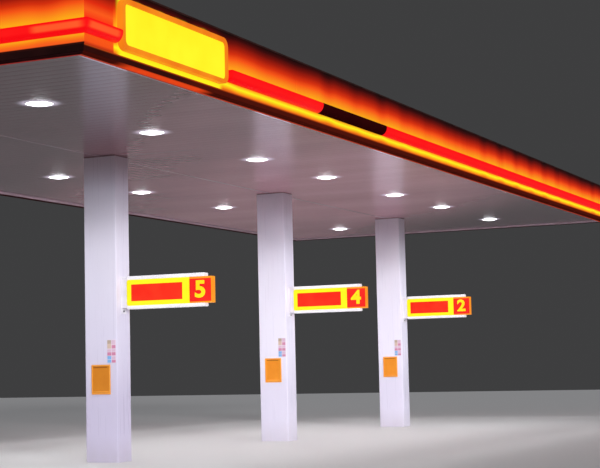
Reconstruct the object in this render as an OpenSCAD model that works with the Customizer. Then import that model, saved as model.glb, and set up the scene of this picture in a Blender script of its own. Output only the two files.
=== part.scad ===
// Filling station canopy: three clad columns carry a flat, box-edged roof.
// X runs along the row of columns, Y across it, Z up from the foot of the columns.
// The origin is on the ground under the middle column.
// "Out" is the distance outwards from the edge of the soffit.

/* [Soffit and columns] */
// Length of the soffit, along the row of columns
soffit_l = 23700; // [22500:50:25000]
// Width of the soffit, across the row of columns
soffit_w = 8500; // [8000:50:9000]
// Height of the soffit's underside above the foot of the columns
soffit_z = 5040; // [4800:10:5300]
// Thickness of the soffit's panels
soffit_t = 30; // [20:5:50]
// Distance from the near edge of the soffit to the first column
near_overhang = 7200; // [6800:50:7400]
// Distance between columns
bay = 6400; // [6300:50:6500]
// Size of a column's casing along the row
casing_x = 420; // [400:5:440]
// Size of a column's casing across the row
casing_y = 620; // [600:5:660]
// Radius of the casing's upright corners
casing_r = 22; // [10:1:40]
// Wall of the casing
casing_t = 6; // [3:1:10]
// Gap left between the casing's head and the soffit
head_gap = 12; // [5:1:40]
// Outside size of the square steel post inside the casing
post_s = 250; // [200:10:280]
// Wall of the steel post
post_t = 10; // [6:1:16]
// Thickness of a post's base plate
plate_t = 30; // [20:5:40]
// Distance between anchor holes along the row
anchor_x = 280; // [240:10:320]
// Distance between anchor holes across the row
anchor_y = 420; // [360:10:460]
// Diameter of an anchor hole
anchor_d = 28; // [22:1:34]

/* [Downlights] */
// Distance between the two downlights on either side of a column
light_pair = 3500; // [3200:50:3800]
// How far each such pair stands off the column's middle, towards the near end
light_shift = 150; // [0:10:300]
// Distance of each row of downlights from the middle line
light_row = 2030; // [1800:10:2200]
// Radius of the hole for a downlight
light_r = 180; // [150:5:200]
// Width of a downlight's rim around its hole
light_rim = 22; // [10:1:30]
// How far the rim stands below the soffit
light_rim_t = 8; // [4:1:15]
// Radius of a downlight's lens at its rim
lens_r = 176; // [150:2:178]
// Radius of the lens's flat bottom
lens_flat = 110; // [60:5:140]
// How far the lens hangs below the soffit
lens_drop = 34; // [15:1:60]
// Depth of a downlight's body above the soffit
light_body = 110; // [60:5:140]

/* [Edge of the roof] */
// How far out the face of the fascia stands
fascia_out = 200; // [190:5:260]
// Thickness of the fascia
fascia_t = 110; // [80:5:120]
// Height of the fascia's lower edge above the soffit's underside
fascia_lift = 42; // [30:1:60]
// Height of the fascia
fascia_h = 790; // [760:10:900]
// Height of the coping on the fascia
coping_h = 24; // [15:1:40]
// How far the coping stands over each face of the fascia
coping_lip = 15; // [5:1:25]
// Width of the smooth trim between soffit and fascia
trim_w = 165; // [140:5:175]
// How far the trim drops below the soffit
trim_drop = 40; // [30:1:70]
// Radius of the trim's lower edges
trim_r = 26; // [15:1:40]
// Height of the dark band's lower edge above the trim's underside
band_lift = 12; // [5:1:20]

/* [Light bar] */
// Height of the bar's lower edge above the fascia's lower edge
bar_lift = 114; // [80:1:150]
// Height of the bar where it meets the fascia
bar_h = 152; // [130:2:200]
// How far the bar stands out from the fascia
bar_d = 126; // [100:2:160]
// Radius of the bar's upper edge
bar_top_r = 26; // [10:1:40]
// Length of the bar's first piece on the front, from the near edge of the soffit
bar_end = 415; // [350:5:480]
// Start of the front bar's second piece, from the near edge of the soffit
bar_restart = 3100; // [2950:10:3150]
// Start of the unlit piece, from the near edge of the soffit
unlit_start = 5950; // [5800:10:6100]
// Length of the unlit piece
unlit_l = 2490; // [2300:10:2600]
// Length of the bare sign panel in the gap of the front bar
panel_l = 2560; // [2350:10:2560]
// Height of the bare sign panel
panel_h = 600; // [500:10:620]
// Height of the bare sign panel's lower edge above the fascia's lower edge
panel_lift = 58; // [20:1:80]
// Thickness of the bare sign panel
panel_t = 60; // [40:5:100]
// Radius of the bare sign panel's corners
panel_r = 120; // [40:5:240]
// Width of the panel's raised rim
panel_rim = 60; // [30:5:80]
// How far the rim stands before the panel
panel_rim_t = 22; // [10:1:40]

/* [Roof] */
// Depth of the cross beams
cross_h = 200; // [160:10:220]
// Width of the cross beams
cross_w = 120; // [100:5:150]
// Distance of the paired cross beams from a column's middle
cross_off = 725; // [650:5:750]
// Width of the long beam over the posts
spine_w = 220; // [180:5:260]
// Depth of the long beam over the posts
spine_h = 210; // [180:5:220]
// Height of the roof sheet's underside above the long beam
deck_rise = 90; // [60:5:100]
// Thickness of the roof sheet
deck_t = 10; // [6:1:16]
// Distance between ribs of the roof sheet
rib_pitch = 475; // [400:25:600]
// Height of a rib
rib_h = 42; // [25:1:60]
// Width of a rib at its foot
rib_w = 90; // [70:5:120]
// Width of a rib at its top
rib_top = 40; // [20:5:60]
// Width of the gutter along the middle of the roof
gutter_w = 320; // [250:10:400]
// Wall of the gutter
gutter_t = 6; // [4:1:10]
// How far the gutter's sides stand above the roof sheet
gutter_rise = 20; // [10:1:40]

/* [Number signs] */
// Height of the first column's sign above the ground, at its lower edge
sign_1_z0 = 2490; // [2400:5:2700]
// Height of the second column's sign above the ground, at its lower edge
sign_2_z0 = 2570; // [2400:5:2700]
// Height of the third column's sign above the ground, at its lower edge
sign_3_z0 = 2580; // [2400:5:2700]
// Height of a sign's lower rail
rail_low_h = 55; // [50:5:100]
// Height of a sign's face between the rails
sign_face_h = 425; // [420:5:460]
// Height of a sign's upper rail
rail_top_h = 60; // [50:5:80]
// Radius of the rails' edges
rail_r = 20; // [10:1:24]
// Distance from the column's middle line to the sign
sign_y0 = 420; // [390:5:460]
// Length of a sign's face
sign_l = 1180; // [1100:10:1200]
// Radius of the face's corners beside the column
sign_r = 40; // [10:5:80]
// Length of a sign's rails
rail_l = 1455; // [1400:5:1600]
// Thickness of a sign between its faces
sign_t = 130; // [110:5:140]
// Thickness of the rails
rail_t = 150; // [142:2:170]
// Length of the number box
number_l = 400; // [380:5:480]
// Thickness of the number box
number_t = 156; // [142:2:170]
// Width of the plate that holds a sign on the column
plate_w = 160; // [120:5:200]
// Thickness of that plate
plate_y = 8; // [5:1:15]
// How far the plate reaches below the sign
plate_tail = 75; // [30:5:100]
// Width of the neck between plate and sign
neck_w = 110; // [80:5:110]
// Height of the neck
neck_h = 500; // [380:10:520]

/* [Frames and plates] */
// Width of a poster frame
poster_w = 360; // [320:5:400]
// Height of a poster frame
poster_h = 485; // [440:5:540]
// Thickness of a poster frame
poster_t = 18; // [12:1:30]
// Radius of a poster frame's corners
poster_r = 14; // [5:1:30]
// Height of the middle column's poster frames above the ground
poster_z0 = 1185; // [1050:5:1250]
// Width of an information plate
info_w = 165; // [120:5:165]
// Height of an information plate
info_h = 380; // [340:5:400]
// Thickness of an information plate
info_t = 6; // [4:1:10]
// Gap between a poster frame and the information plate above it
info_gap = 26; // [5:1:60]
// Distance of an information plate's middle from the column's middle line
info_y = 205; // [170:5:205]

/* [Hidden] */
$fn = 64;
half_l = soffit_l / 2;
half_w = soffit_w / 2;
col_x = [-bay, 0, bay];
near_x = -bay - near_overhang;
mid_x = near_x + half_l;
trim_z0 = soffit_z - trim_drop;
fascia_z0 = soffit_z + fascia_lift;
fascia_top = fascia_z0 + fascia_h;
fascia_in = fascia_out - fascia_t;
bar_z0 = fascia_z0 + bar_lift;
bar_top = bar_z0 + bar_h;
post_top = soffit_z + soffit_t + cross_h;
gutter_z = post_top + spine_h;
deck_z = gutter_z + deck_rise;
inner_l = soffit_l + 2 * fascia_in;
inner_w = soffit_w + 2 * fascia_in;
sign_h = rail_low_h + sign_face_h + rail_top_h;
sign_z0 = [sign_1_z0, sign_2_z0, sign_3_z0];
info_z0 = poster_z0 + poster_h + info_gap;
light_x = [
    for (i = [-1:2], s = [-1, 1])
        if (i > -1 || s > 0) bay * (i - 1) + s * light_pair / 2 - light_shift];
cross_x = concat(
    [for (x = col_x) each [x - cross_off, x + cross_off]],
    [for (i = [-1.5:0.5]) bay * i],
    [mid_x - (inner_l - cross_w) / 2, mid_x + (inner_l - cross_w) / 2]);
soffit_cut = concat([near_x], col_x, [near_x + soffit_l]);

// Points on a quarter of an ellipse about (cx, cy), from angle a0 to a0 + 90
function arc(cx, cy, rx, ry, a0, n = 6) =
    [for (k = [0:n]) [cx + rx * cos(a0 + 90 * k / n), cy + ry * sin(a0 + 90 * k / n)]];

// Outline of a w by d rectangle with corners of radius r, centred on the origin
function round_rect(w, d, r) = concat(
    arc(w / 2 - r, d / 2 - r, r, r, 0),
    arc(-w / 2 + r, d / 2 - r, r, r, 90),
    arc(-w / 2 + r, -d / 2 + r, r, r, 180),
    arc(w / 2 - r, -d / 2 + r, r, r, 270));

// Half the length of a side's soffit edge, its distance from the middle of the
// roof, and its direction as the turn about Z from the front side
function side_half(side) = side == "front" || side == "back" ? half_l : half_w;
function side_dist(side) = side == "front" || side == "back" ? half_w : half_l;
function side_turn(side) = side == "front" ? 0 : side == "far" ? 90 : side == "back" ? 180 : 270;

// A run along one side of the roof. The section's first coordinate is the
// distance out from the soffit's edge, its second the height. Its ends are
// mitred at the corners, or cut square at from and to along the side.
module side_run(side, section, from = undef, to = undef) {
    half = side_half(side);
    dist = side_dist(side);
    heights = [for (p = section) p[1]];
    reach = 600;
    spare = 1;
    translate([mid_x, 0, 0])
        rotate([0, 0, side_turn(side)])
            intersection() {
                translate([-half - reach, -dist, 0])
                    rotate([90, 0, 90])
                        linear_extrude(2 * (half + reach))
                            polygon([for (p = section) [-p[0], p[1]]]);
                translate([0, 0, min(heights) - spare])
                    linear_extrude(max(heights) - min(heights) + 2 * spare)
                        polygon([
                            [is_undef(from) ? -half + reach : from, -dist + reach],
                            [is_undef(from) ? -half - reach : from, -dist - reach],
                            [is_undef(to) ? half + reach : to, -dist - reach],
                            [is_undef(to) ? half - reach : to, -dist + reach]]);
            }
}

// Steel post with its base plate and four anchor holes
module post(i) {
    plate_l = casing_x - 2 * casing_t;
    plate_d = casing_y - 2 * casing_t;
    color("slategray")
        translate([col_x[i], 0, 0]) {
            difference() {
                translate([-plate_l / 2, -plate_d / 2, 0])
                    cube([plate_l, plate_d, plate_t]);
                for (sx = [-1, 1], sy = [-1, 1]) {
                    translate([sx * anchor_x / 2, sy * anchor_y / 2, -1])
                        cylinder(d = anchor_d, h = plate_t + 2);
                    translate([sx * plate_l / 2, sy * plate_d / 2, plate_t / 2])
                        rotate([0, 0, 45])
                            cube([casing_r, casing_r, plate_t + 2], center = true);
                }
            }
            translate([0, 0, plate_t])
                linear_extrude(post_top - plate_t)
                    difference() {
                        square(post_s, center = true);
                        square(post_s - 2 * post_t, center = true);
                    }
        }
}

// White sheet casing around a post, rounded at its upright corners
module column_casing(i) {
    wall = 2 * casing_t;
    color("whitesmoke")
        translate([col_x[i], 0, 0])
            linear_extrude(soffit_z - head_gap)
                difference() {
                    polygon(round_rect(casing_x, casing_y, casing_r));
                    polygon(round_rect(casing_x - wall, casing_y - wall, casing_r - casing_t));
                }
}

// One length of soffit, between two column lines or a column line and an end
module soffit(k) {
    color("gainsboro")
        difference() {
            translate([soffit_cut[k], -half_w, soffit_z])
                cube([soffit_cut[k + 1] - soffit_cut[k], soffit_w, soffit_t]);
            for (x = light_x, s = [-1, 1])
                if (x > soffit_cut[k] && x < soffit_cut[k + 1])
                    translate([x, s * light_row, soffit_z - 1])
                        cylinder(r = light_r, h = soffit_t + 2);
            for (x = col_x)
                translate([x - post_s / 2, -post_s / 2, soffit_z - 1])
                    cube([post_s, post_s, soffit_t + 2]);
        }
}

// A row of downlights, each a round body with a rim and a lens under the soffit
module downlights(side) {
    color("white")
        for (x = light_x)
            translate([x, side * light_row, soffit_z - light_rim_t]) {
                cylinder(r = light_r + light_rim, h = light_rim_t);
                cylinder(r = light_r - 1, h = light_rim_t + light_body);
                translate([0, 0, light_rim_t - lens_drop])
                    cylinder(r1 = lens_flat, r2 = lens_r, h = lens_drop);
            }
}

// Smooth rounded trim between the soffit and the dark band
module edge_trim(side) {
    color("maroon")
        side_run(side, concat(
            [[0, fascia_z0]],
            arc(trim_r, trim_z0 + trim_r, trim_r, trim_r, 180),
            arc(trim_w - trim_r, trim_z0 + trim_r, trim_r, trim_r, 270),
            [[trim_w, fascia_z0]]));
}

// Dark band that slopes out from the trim to the fascia's lower edge
module lower_band(side) {
    band_z0 = trim_z0 + band_lift;
    foot = 0.3 * (fascia_out - trim_w);
    color("darkslategray")
        side_run(side, [
            [trim_w, trim_z0 + trim_r], [trim_w + foot, band_z0],
            [fascia_out, fascia_z0], [trim_w, fascia_z0]]);
}

// Fascia of one side with its coping
module fascia(side) {
    color("orange")
        side_run(side, [
            [fascia_in, fascia_z0], [fascia_out, fascia_z0],
            [fascia_out, fascia_top - coping_h], [fascia_out + coping_lip, fascia_top - coping_h],
            [fascia_out + coping_lip, fascia_top], [fascia_in - coping_lip, fascia_top],
            [fascia_in - coping_lip, fascia_top - coping_h], [fascia_in, fascia_top - coping_h]]);
}

// Outline of the light bar: underside swept up and out, soft upper edge
bar_section = concat(
    arc(fascia_out, bar_top - bar_top_r, bar_d, bar_h - bar_top_r, 270, 12),
    arc(fascia_out + bar_d - bar_top_r, bar_top - bar_top_r, bar_top_r, bar_top_r, 0),
    [[fascia_out, bar_top]]);

// A length of the light bar along one side
module light_bar(side, from = undef, to = undef) {
    color("red")
        side_run(side, bar_section, from, to);
}

// Bare lit panel with a raised rim, in the gap of the front light bar
module bare_sign_panel() {
    mid = near_x + (bar_end + bar_restart) / 2;
    rim = 2 * panel_rim;
    color("yellow")
        translate([mid, -half_w - fascia_out, fascia_z0 + panel_lift + panel_h / 2])
            rotate([90, 0, 0])
                difference() {
                    linear_extrude(panel_t + panel_rim_t)
                        polygon(round_rect(panel_l, panel_h, panel_r));
                    translate([0, 0, panel_t])
                        linear_extrude(panel_rim_t + 1)
                            polygon(round_rect(panel_l - rim, panel_h - rim, max(panel_r - panel_rim, 5)));
                }
}

// Steel frame inside the roof: long beam, cross beams and eaves beams
module roof_frame() {
    color("slategray") {
        translate([mid_x - inner_l / 2, -spine_w / 2, post_top])
            cube([inner_l, spine_w, spine_h]);
        for (x = cross_x)
            translate([x - cross_w / 2, -inner_w / 2, soffit_z + soffit_t])
                cube([cross_w, inner_w, cross_h]);
        for (s = [-1, 1])
            translate([mid_x - inner_l / 2, s * (inner_w - cross_w) / 2 - cross_w / 2, post_top])
                cube([inner_l, cross_w, deck_z - post_top]);
    }
}

// Ribbed roof sheet in two halves, one on each side of the gutter
module roof_sheet() {
    count = floor(inner_l / rib_pitch);
    first = -(count - 1) * rib_pitch / 2;
    half = (inner_w - gutter_w) / 2;
    profile = concat(
        [[-inner_l / 2, 0], [-inner_l / 2, deck_t]],
        [for (k = [0:count - 1]) let (x = first + k * rib_pitch) each [
            [x - rib_w / 2, deck_t], [x - rib_top / 2, deck_t + rib_h],
            [x + rib_top / 2, deck_t + rib_h], [x + rib_w / 2, deck_t]]],
        [[inner_l / 2, deck_t], [inner_l / 2, 0]]);
    color("lightgray")
        for (back_edge = [-gutter_w / 2, inner_w / 2])
            translate([mid_x, back_edge, deck_z])
                rotate([90, 0, 0])
                    linear_extrude(half)
                        polygon(profile);
}

// Gutter along the middle of the roof, standing on the long beam
module roof_gutter() {
    w = gutter_w / 2;
    top = deck_z + deck_t + gutter_rise;
    color("silver")
        translate([mid_x - inner_l / 2, 0, 0])
            rotate([90, 0, 90])
                linear_extrude(inner_l)
                    polygon([
                        [-w, gutter_z], [w, gutter_z], [w, top], [w - gutter_t, top],
                        [w - gutter_t, gutter_z + gutter_t], [-w + gutter_t, gutter_z + gutter_t],
                        [-w + gutter_t, top], [-w, top]]);
}

// Sign beside a column: a lit body between an upper and a lower rail
module number_sign(i) {
    mid_h = sign_face_h / 2;
    color("yellow")
        translate([col_x[i], -sign_y0, sign_z0[i]]) {
            translate([-sign_t / 2, 0, rail_low_h + mid_h])
                rotate([90, 0, 90])
                    linear_extrude(sign_t)
                        polygon(concat(
                            [[-sign_l, mid_h], [-sign_l, -mid_h]],
                            arc(-sign_r, -mid_h + sign_r, sign_r, sign_r, 270),
                            arc(-sign_r, mid_h - sign_r, sign_r, sign_r, 0)));
            translate([0, 0, rail_low_h / 2])
                rotate([90, 0, 0])
                    linear_extrude(rail_l)
                        polygon(round_rect(rail_t, rail_low_h, rail_r));
            translate([0, 0, sign_h - rail_top_h / 2])
                rotate([90, 0, 0])
                    linear_extrude(rail_l)
                        polygon(round_rect(rail_t, rail_top_h, rail_r));
        }
}

// Number box at the outer end of a sign, between the rails
module number_box(i) {
    color("red")
        translate([col_x[i] - number_t / 2, -sign_y0 - sign_l - number_l, sign_z0[i] + rail_low_h])
            cube([number_t, number_l, sign_face_h]);
}

// Plates with necks that hold the signs on the columns
module sign_brackets() {
    face_y = casing_y / 2;
    color("silver")
        for (i = [0:2])
            translate([col_x[i], 0, sign_z0[i]]) {
                translate([-plate_w / 2, -face_y - plate_y, -plate_tail])
                    cube([plate_w, plate_y, sign_h + plate_tail]);
                translate([-neck_w / 2, -sign_y0, (sign_h - neck_h) / 2])
                    cube([neck_w, sign_y0 - face_y - plate_y / 2, neck_h]);
            }
}

// Height of a column's frames and plates, from the middle column's; it follows the signs
function level(i) = sign_z0[i] - sign_z0[1];

// Shallow frames for posters, on both wide faces of each column
module poster_frames() {
    color("goldenrod")
        for (i = [0:2], s = [-1, 1])
            translate([col_x[i] + s * (casing_x + poster_t) / 2, 0, poster_z0 + level(i) + poster_h / 2])
                rotate([90, 0, 90])
                    linear_extrude(poster_t, center = true)
                        polygon(round_rect(poster_w, poster_h, poster_r));
}

// Thin plates above the poster frames
module info_plates() {
    color("white")
        for (i = [0:2], s = [-1, 1])
            translate([col_x[i] + s * (casing_x + info_t) / 2, s * info_y, info_z0 + level(i) + info_h / 2])
                cube([info_t, info_w, info_h], center = true);
}

post(0);  // post_1
post(1);  // post_2
post(2);  // post_3
column_casing(0);  // column_casing_1
column_casing(1);  // column_casing_2
column_casing(2);  // column_casing_3
soffit(0);  // soffit_near
soffit(1);  // soffit_bay_1
soffit(2);  // soffit_bay_2
soffit(3);  // soffit_far
downlights(-1);  // downlights_front
downlights(1);  // downlights_back
edge_trim("front");  // edge_trim_front
edge_trim("far");  // edge_trim_far
edge_trim("back");  // edge_trim_back
edge_trim("near");  // edge_trim_near
lower_band("front");  // lower_band_front
lower_band("far");  // lower_band_far
lower_band("back");  // lower_band_back
lower_band("near");  // lower_band_near
fascia("front");  // fascia_front
fascia("far");  // fascia_far
fascia("back");  // fascia_back
fascia("near");  // fascia_near
light_bar("front", to = -half_l + bar_end);  // light_bar_front_corner
light_bar("front", from = -half_l + bar_restart, to = -half_l + unlit_start);  // light_bar_front_first
light_bar("front", from = -half_l + unlit_start, to = -half_l + unlit_start + unlit_l);  // light_bar_front_unlit
light_bar("front", from = -half_l + unlit_start + unlit_l);  // light_bar_front_last
light_bar("far");  // light_bar_far
light_bar("back");  // light_bar_back
light_bar("near");  // light_bar_near
bare_sign_panel();
roof_frame();
roof_sheet();
roof_gutter();
number_sign(0);  // number_sign_1
number_sign(1);  // number_sign_2
number_sign(2);  // number_sign_3
number_box(0);  // number_box_1
number_box(1);  // number_box_2
number_box(2);  // number_box_3
sign_brackets();
poster_frames();
info_plates();
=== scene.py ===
# %% [markdown]
# # A filling station canopy
# A flat roof with lit edges stands on one row of three clad columns. The packed
# part already holds every piece at its real size. This script dresses it: it
# adds what is too small for the solids, such as slats, numerals and screws, and
# gives each surface its finish. All lengths are metres in the part's own frame:
# X along the row of columns, Y across it, Z up, and the origin on the ground
# under the middle column. The frame is loaded first, because every later piece
# takes its place from it.

# %% Load the frame
import math

import bmesh
import bpy
from mathutils import Matrix, Vector


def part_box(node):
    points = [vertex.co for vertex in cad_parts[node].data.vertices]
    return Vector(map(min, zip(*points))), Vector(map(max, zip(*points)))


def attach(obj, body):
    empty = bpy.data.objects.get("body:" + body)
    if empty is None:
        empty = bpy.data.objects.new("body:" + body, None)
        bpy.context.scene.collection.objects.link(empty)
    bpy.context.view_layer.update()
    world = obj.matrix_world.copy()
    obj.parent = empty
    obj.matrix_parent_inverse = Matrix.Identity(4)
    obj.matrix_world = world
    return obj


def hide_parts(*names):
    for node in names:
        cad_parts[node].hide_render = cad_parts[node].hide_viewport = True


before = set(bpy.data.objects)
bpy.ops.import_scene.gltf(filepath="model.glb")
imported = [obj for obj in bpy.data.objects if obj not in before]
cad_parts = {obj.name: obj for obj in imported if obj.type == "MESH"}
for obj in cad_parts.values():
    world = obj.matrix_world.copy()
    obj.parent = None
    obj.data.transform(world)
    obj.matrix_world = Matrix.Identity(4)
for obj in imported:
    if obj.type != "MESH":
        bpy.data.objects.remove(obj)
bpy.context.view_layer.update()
scene = bpy.context.scene
print("nodes:", len(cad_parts))

# %% [markdown]
# ## Where the roof is
# The soffit is the flat underside of the roof, and its outer edge is the line
# that the builders set everything out from. So the script reads that edge from
# the frame once, and places each edge piece by its distance "out" from it.

# %% The soffit's edge and the columns
near_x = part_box("soffit_near")[0].x
far_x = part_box("soffit_far")[1].x
soffit_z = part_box("soffit_near")[0].z
soffit_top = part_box("soffit_near")[1].z
half_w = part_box("soffit_near")[1].y
half_l = (far_x - near_x) / 2
mid_x = (far_x + near_x) / 2
fascia_out = -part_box("lower_band_front")[0].y - half_w
column_x = [sum(corner.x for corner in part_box(f"column_casing_{i}")) / 2 for i in (1, 2, 3)]
print(f"soffit {2 * half_l:.2f} by {2 * half_w:.2f} m at {soffit_z:.2f} m, columns at", column_x)

# %% [markdown]
# ## Camera
# A rebuilt object is easiest to judge from the place where its photograph was
# taken. The photographer stood at eye height, outside the front edge near the
# long overhang, with a long lens. Three turns describe such a camera: yaw to the
# left or right, pitch up, and a small roll because it was held by hand. The
# matrix is built from the three directions that the camera has, because Euler
# angles would hide which turn comes first.

# %% Camera
def add_object(name, data):
    """An object in the scene that holds this data."""
    made = bpy.data.objects.new(name, data)
    scene.collection.objects.link(made)
    return made


eye = Vector((-27.461, -13.404, 1.481))
yaw, pitch, roll = (math.radians(angle) for angle in (25.124, 4.828, 1.271))
forward = Vector((math.cos(yaw) * math.cos(pitch), math.sin(yaw) * math.cos(pitch), math.sin(pitch)))
level_right = Vector((math.sin(yaw), -math.cos(yaw), 0))
level_down = forward.cross(level_right)
right = math.cos(roll) * level_right + math.sin(roll) * level_down
down = math.cos(roll) * level_down - math.sin(roll) * level_right
lens = bpy.data.cameras.new("camera")
lens.lens = 89.54
lens.sensor_width = 36.0
lens.shift_x = 0.0025
lens.shift_y = 0.0117
lens.clip_end = 400.0
camera = add_object("camera", lens)
camera.matrix_world = Matrix.Translation(eye) @ Matrix((right, -down, -forward)).transposed().to_4x4()
scene.camera = camera
scene.view_settings.view_transform = "Standard"
print("camera at", tuple(round(value, 2) for value in eye))

# %% [markdown]
# ## Shader sums in plain Python
# A finish is worked out from numbers that change over the surface, such as the
# height above the light bar. Linking Math nodes by hand hides the formula. One
# small class wraps a socket, so that `1 - mask` or `height / reach` adds the
# Math node itself, and one method makes every other kind of node.

# %% Socket wrapper
def sum_of_two(operation, swapped=False):
    """A method that adds the Math node for a wire and another value."""
    def method(wire, other):
        pair = (other, wire) if swapped else (wire, other)
        return wire.maths(operation, *pair)
    return method


def sum_of_one(operation):
    """A method that adds the Math node for a wire alone."""
    def method(wire):
        return wire.maths(operation, wire)
    return method


class Wire:
    """An output socket. Sums written with it add Math nodes to its tree."""

    def __init__(self, tree, socket):
        self.tree = tree
        self.socket = socket

    def maths(self, operation, *values):
        return self.tree.node("ShaderNodeMath", {"operation": operation}, dict(enumerate(values)))

    __add__, __radd__ = sum_of_two("ADD"), sum_of_two("ADD", True)
    __sub__, __rsub__ = sum_of_two("SUBTRACT"), sum_of_two("SUBTRACT", True)
    __mul__, __rmul__ = sum_of_two("MULTIPLY"), sum_of_two("MULTIPLY", True)
    __truediv__, __abs__ = sum_of_two("DIVIDE"), sum_of_one("ABSOLUTE")
    most, least = sum_of_two("MAXIMUM"), sum_of_two("MINIMUM")
    floor, root = sum_of_one("FLOOR"), sum_of_one("SQRT")

    def off_marks(self, first, pitch):
        """Distance to the nearest of the marks first, first + pitch and so on, both ways."""
        phase = (self - first) / pitch + 0.5
        return abs(self.maths("FRACT", phase) - 0.5) * pitch

    def soft(self, start, stop):
        """0 at start, 1 at stop, with a smooth passage between them."""
        settings = {"interpolation_type": "SMOOTHSTEP"}
        return self.tree.node("ShaderNodeMapRange", settings, {"Value": self, 1: start, 2: stop})

    def between(self, low, high, blur):
        """1 from low to high, fading to 0 over blur on either side."""
        return self.soft(low - blur, low) * self.soft(high + blur, high)

# %% Node tree wrapper
class Tree:
    """A node tree that is filled by calls."""

    def __init__(self, node_tree):
        self.nodes = node_tree.nodes
        self.links = node_tree.links
        self.nodes.clear()

    def node(self, kind, settings=None, inputs=None, output=0):
        """A node of that kind: its settings first, then its sockets' values or links."""
        made = self.nodes.new(kind)
        for name, value in (settings or {}).items():
            if name == "stops":
                self.set_stops(made.color_ramp, value)
            else:
                setattr(made, name, value)
        for key, value in (inputs or {}).items():
            self.feed(made.inputs[key], value)
        return Wire(self, made.outputs[output]) if made.outputs else made

    def feed(self, socket, value):
        if isinstance(value, Wire):
            self.links.new(value.socket, socket)
        else:
            socket.default_value = value

    def set_stops(self, ramp, stops):
        while len(ramp.elements) < len(stops):
            ramp.elements.new(1.0)
        for element, (place, colour) in zip(ramp.elements, stops):
            element.position = place
            element.color = colour

# %% Colours
def tint(code):
    """A colour written as #rrggbb, as Blender's linear red, green, blue and alpha."""
    parts = [int(code[i:i + 2], 16) / 255 for i in (1, 3, 5)]
    return tuple(c / 12.92 if c <= 0.04045 else ((c + 0.055) / 1.055) ** 2.4 for c in parts) + (1.0,)


print("one plus a wire adds a node; tint('#808080') is", round(tint("#808080")[0], 3))

# %% [markdown]
# A material starts as one Principled shader. Values that are the same all over
# the surface are set on the shader's own sockets. Only what changes from place
# to place comes in through links. Patterns read Object coordinates: every piece
# sits at the origin, so those are simply metres in the canopy's frame. Two
# kinds of finish come back often, a cloudy coat and a lit cover, so each of them
# has a function of its own.

# %% Material builder
class Finish(Tree):
    """A material with one Principled shader and helpers for this canopy's patterns."""

    def __init__(self, name, constants):
        self.material = bpy.data.materials.new(name)
        self.material.use_nodes = True
        super().__init__(self.material.node_tree)
        shader = self.node("ShaderNodeBsdfPrincipled")
        self.shader = shader.socket.node
        self.node("ShaderNodeOutputMaterial", None, {"Surface": shader})
        for key, value in constants.items():
            self.shader.inputs[key].default_value = value
        self.place = self.node("ShaderNodeTexCoord", None, None, "Object")
        axes = self.node("ShaderNodeSeparateXYZ", None, {0: self.place}).socket.node.outputs
        self.x, self.y, self.z = (Wire(self, axes[i]) for i in range(3))

    def noise(self, scale, detail=2.0, stretch=(1.0, 1.0, 1.0)):
        """Cloudy values about 0.5; a small stretch draws the clouds out along that axis."""
        moved = self.node("ShaderNodeMapping", None, {"Vector": self.place, "Scale": stretch})
        return self.node("ShaderNodeTexNoise", None, {"Vector": moved, "Scale": scale, "Detail": detail})

    def mix(self, share, low, high):
        return self.node("ShaderNodeMix", {"data_type": "RGBA"}, {0: share, 6: low, 7: high}, 2)

    def dimmed(self, colour, share):
        """The colour times a number or a mask."""
        return self.mix(share, (0.0, 0.0, 0.0, 1.0), colour)

    def ramp(self, value, stops):
        coloured = [(place, tint(code)) for place, code in stops]
        return self.node("ShaderNodeValToRGB", {"stops": coloured}, {0: value})

    def tones(self, cloud, dark, light):
        """Two close tones that follow the clouds."""
        return self.ramp(cloud, [(0.3, dark), (0.7, light)])

    def bump(self, height, distance, strength):
        inputs = {"Height": height, "Distance": distance, "Strength": strength}
        self.set("Normal", self.node("ShaderNodeBump", None, inputs))

    def set(self, socket, value):
        self.feed(self.shader.inputs[socket], value)

    def glow(self, colour, body, light):
        """Part of the colour is the surface's own and part is emission: light from behind a lit cover, or
        painted light on a part that holds no lamp.
        """
        self.set("Base Color", self.dimmed(colour, body))
        self.set("Emission Color", self.dimmed(colour, light))
        self.shader.inputs["Emission Strength"].default_value = 1.0

# %% Two kinds of finish
def cloudy(name, constants, clouds, tones, rough):
    """A finish whose tone and roughness follow the same clouds."""
    finish = Finish(name, constants)
    cloud = finish.noise(*clouds)
    finish.set("Base Color", finish.tones(cloud, *tones))
    finish.set("Roughness", rough[0] + cloud * rough[1])
    return finish


def glowing(name, constants, clouds, tones, body, light):
    """A lit cover with slightly uneven light behind it."""
    finish = Finish(name, constants)
    finish.glow(finish.tones(finish.noise(*clouds), *tones), body, light)
    return finish


print("material builders ready")

# %% [markdown]
# ## From mesh to piece
# Each new piece is shaped with bmesh operators and then handed to one function.
# It turns the normals outwards, shades the mesh smooth with sharp edges where
# two faces meet at an angle, and fastens the object to the part. Doing this in
# one place means that no piece can be forgotten. After it come the few forms
# that return all over the canopy, such as a rounded block and a placed copy.

# %% Piece maker
crease_angle, wide_crease = 32.0, 40.0


def finished_mesh(bm, name):
    """A mesh of what the bmesh holds; the bmesh itself is freed."""
    mesh = bpy.data.meshes.new(name)
    bm.to_mesh(mesh)
    bm.free()
    return mesh


def evaluated_mesh(thing):
    """A mesh of an object with its modifiers or its text worked out."""
    bpy.context.view_layer.update()
    return bpy.data.meshes.new_from_object(thing.evaluated_get(bpy.context.evaluated_depsgraph_get()))


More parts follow.
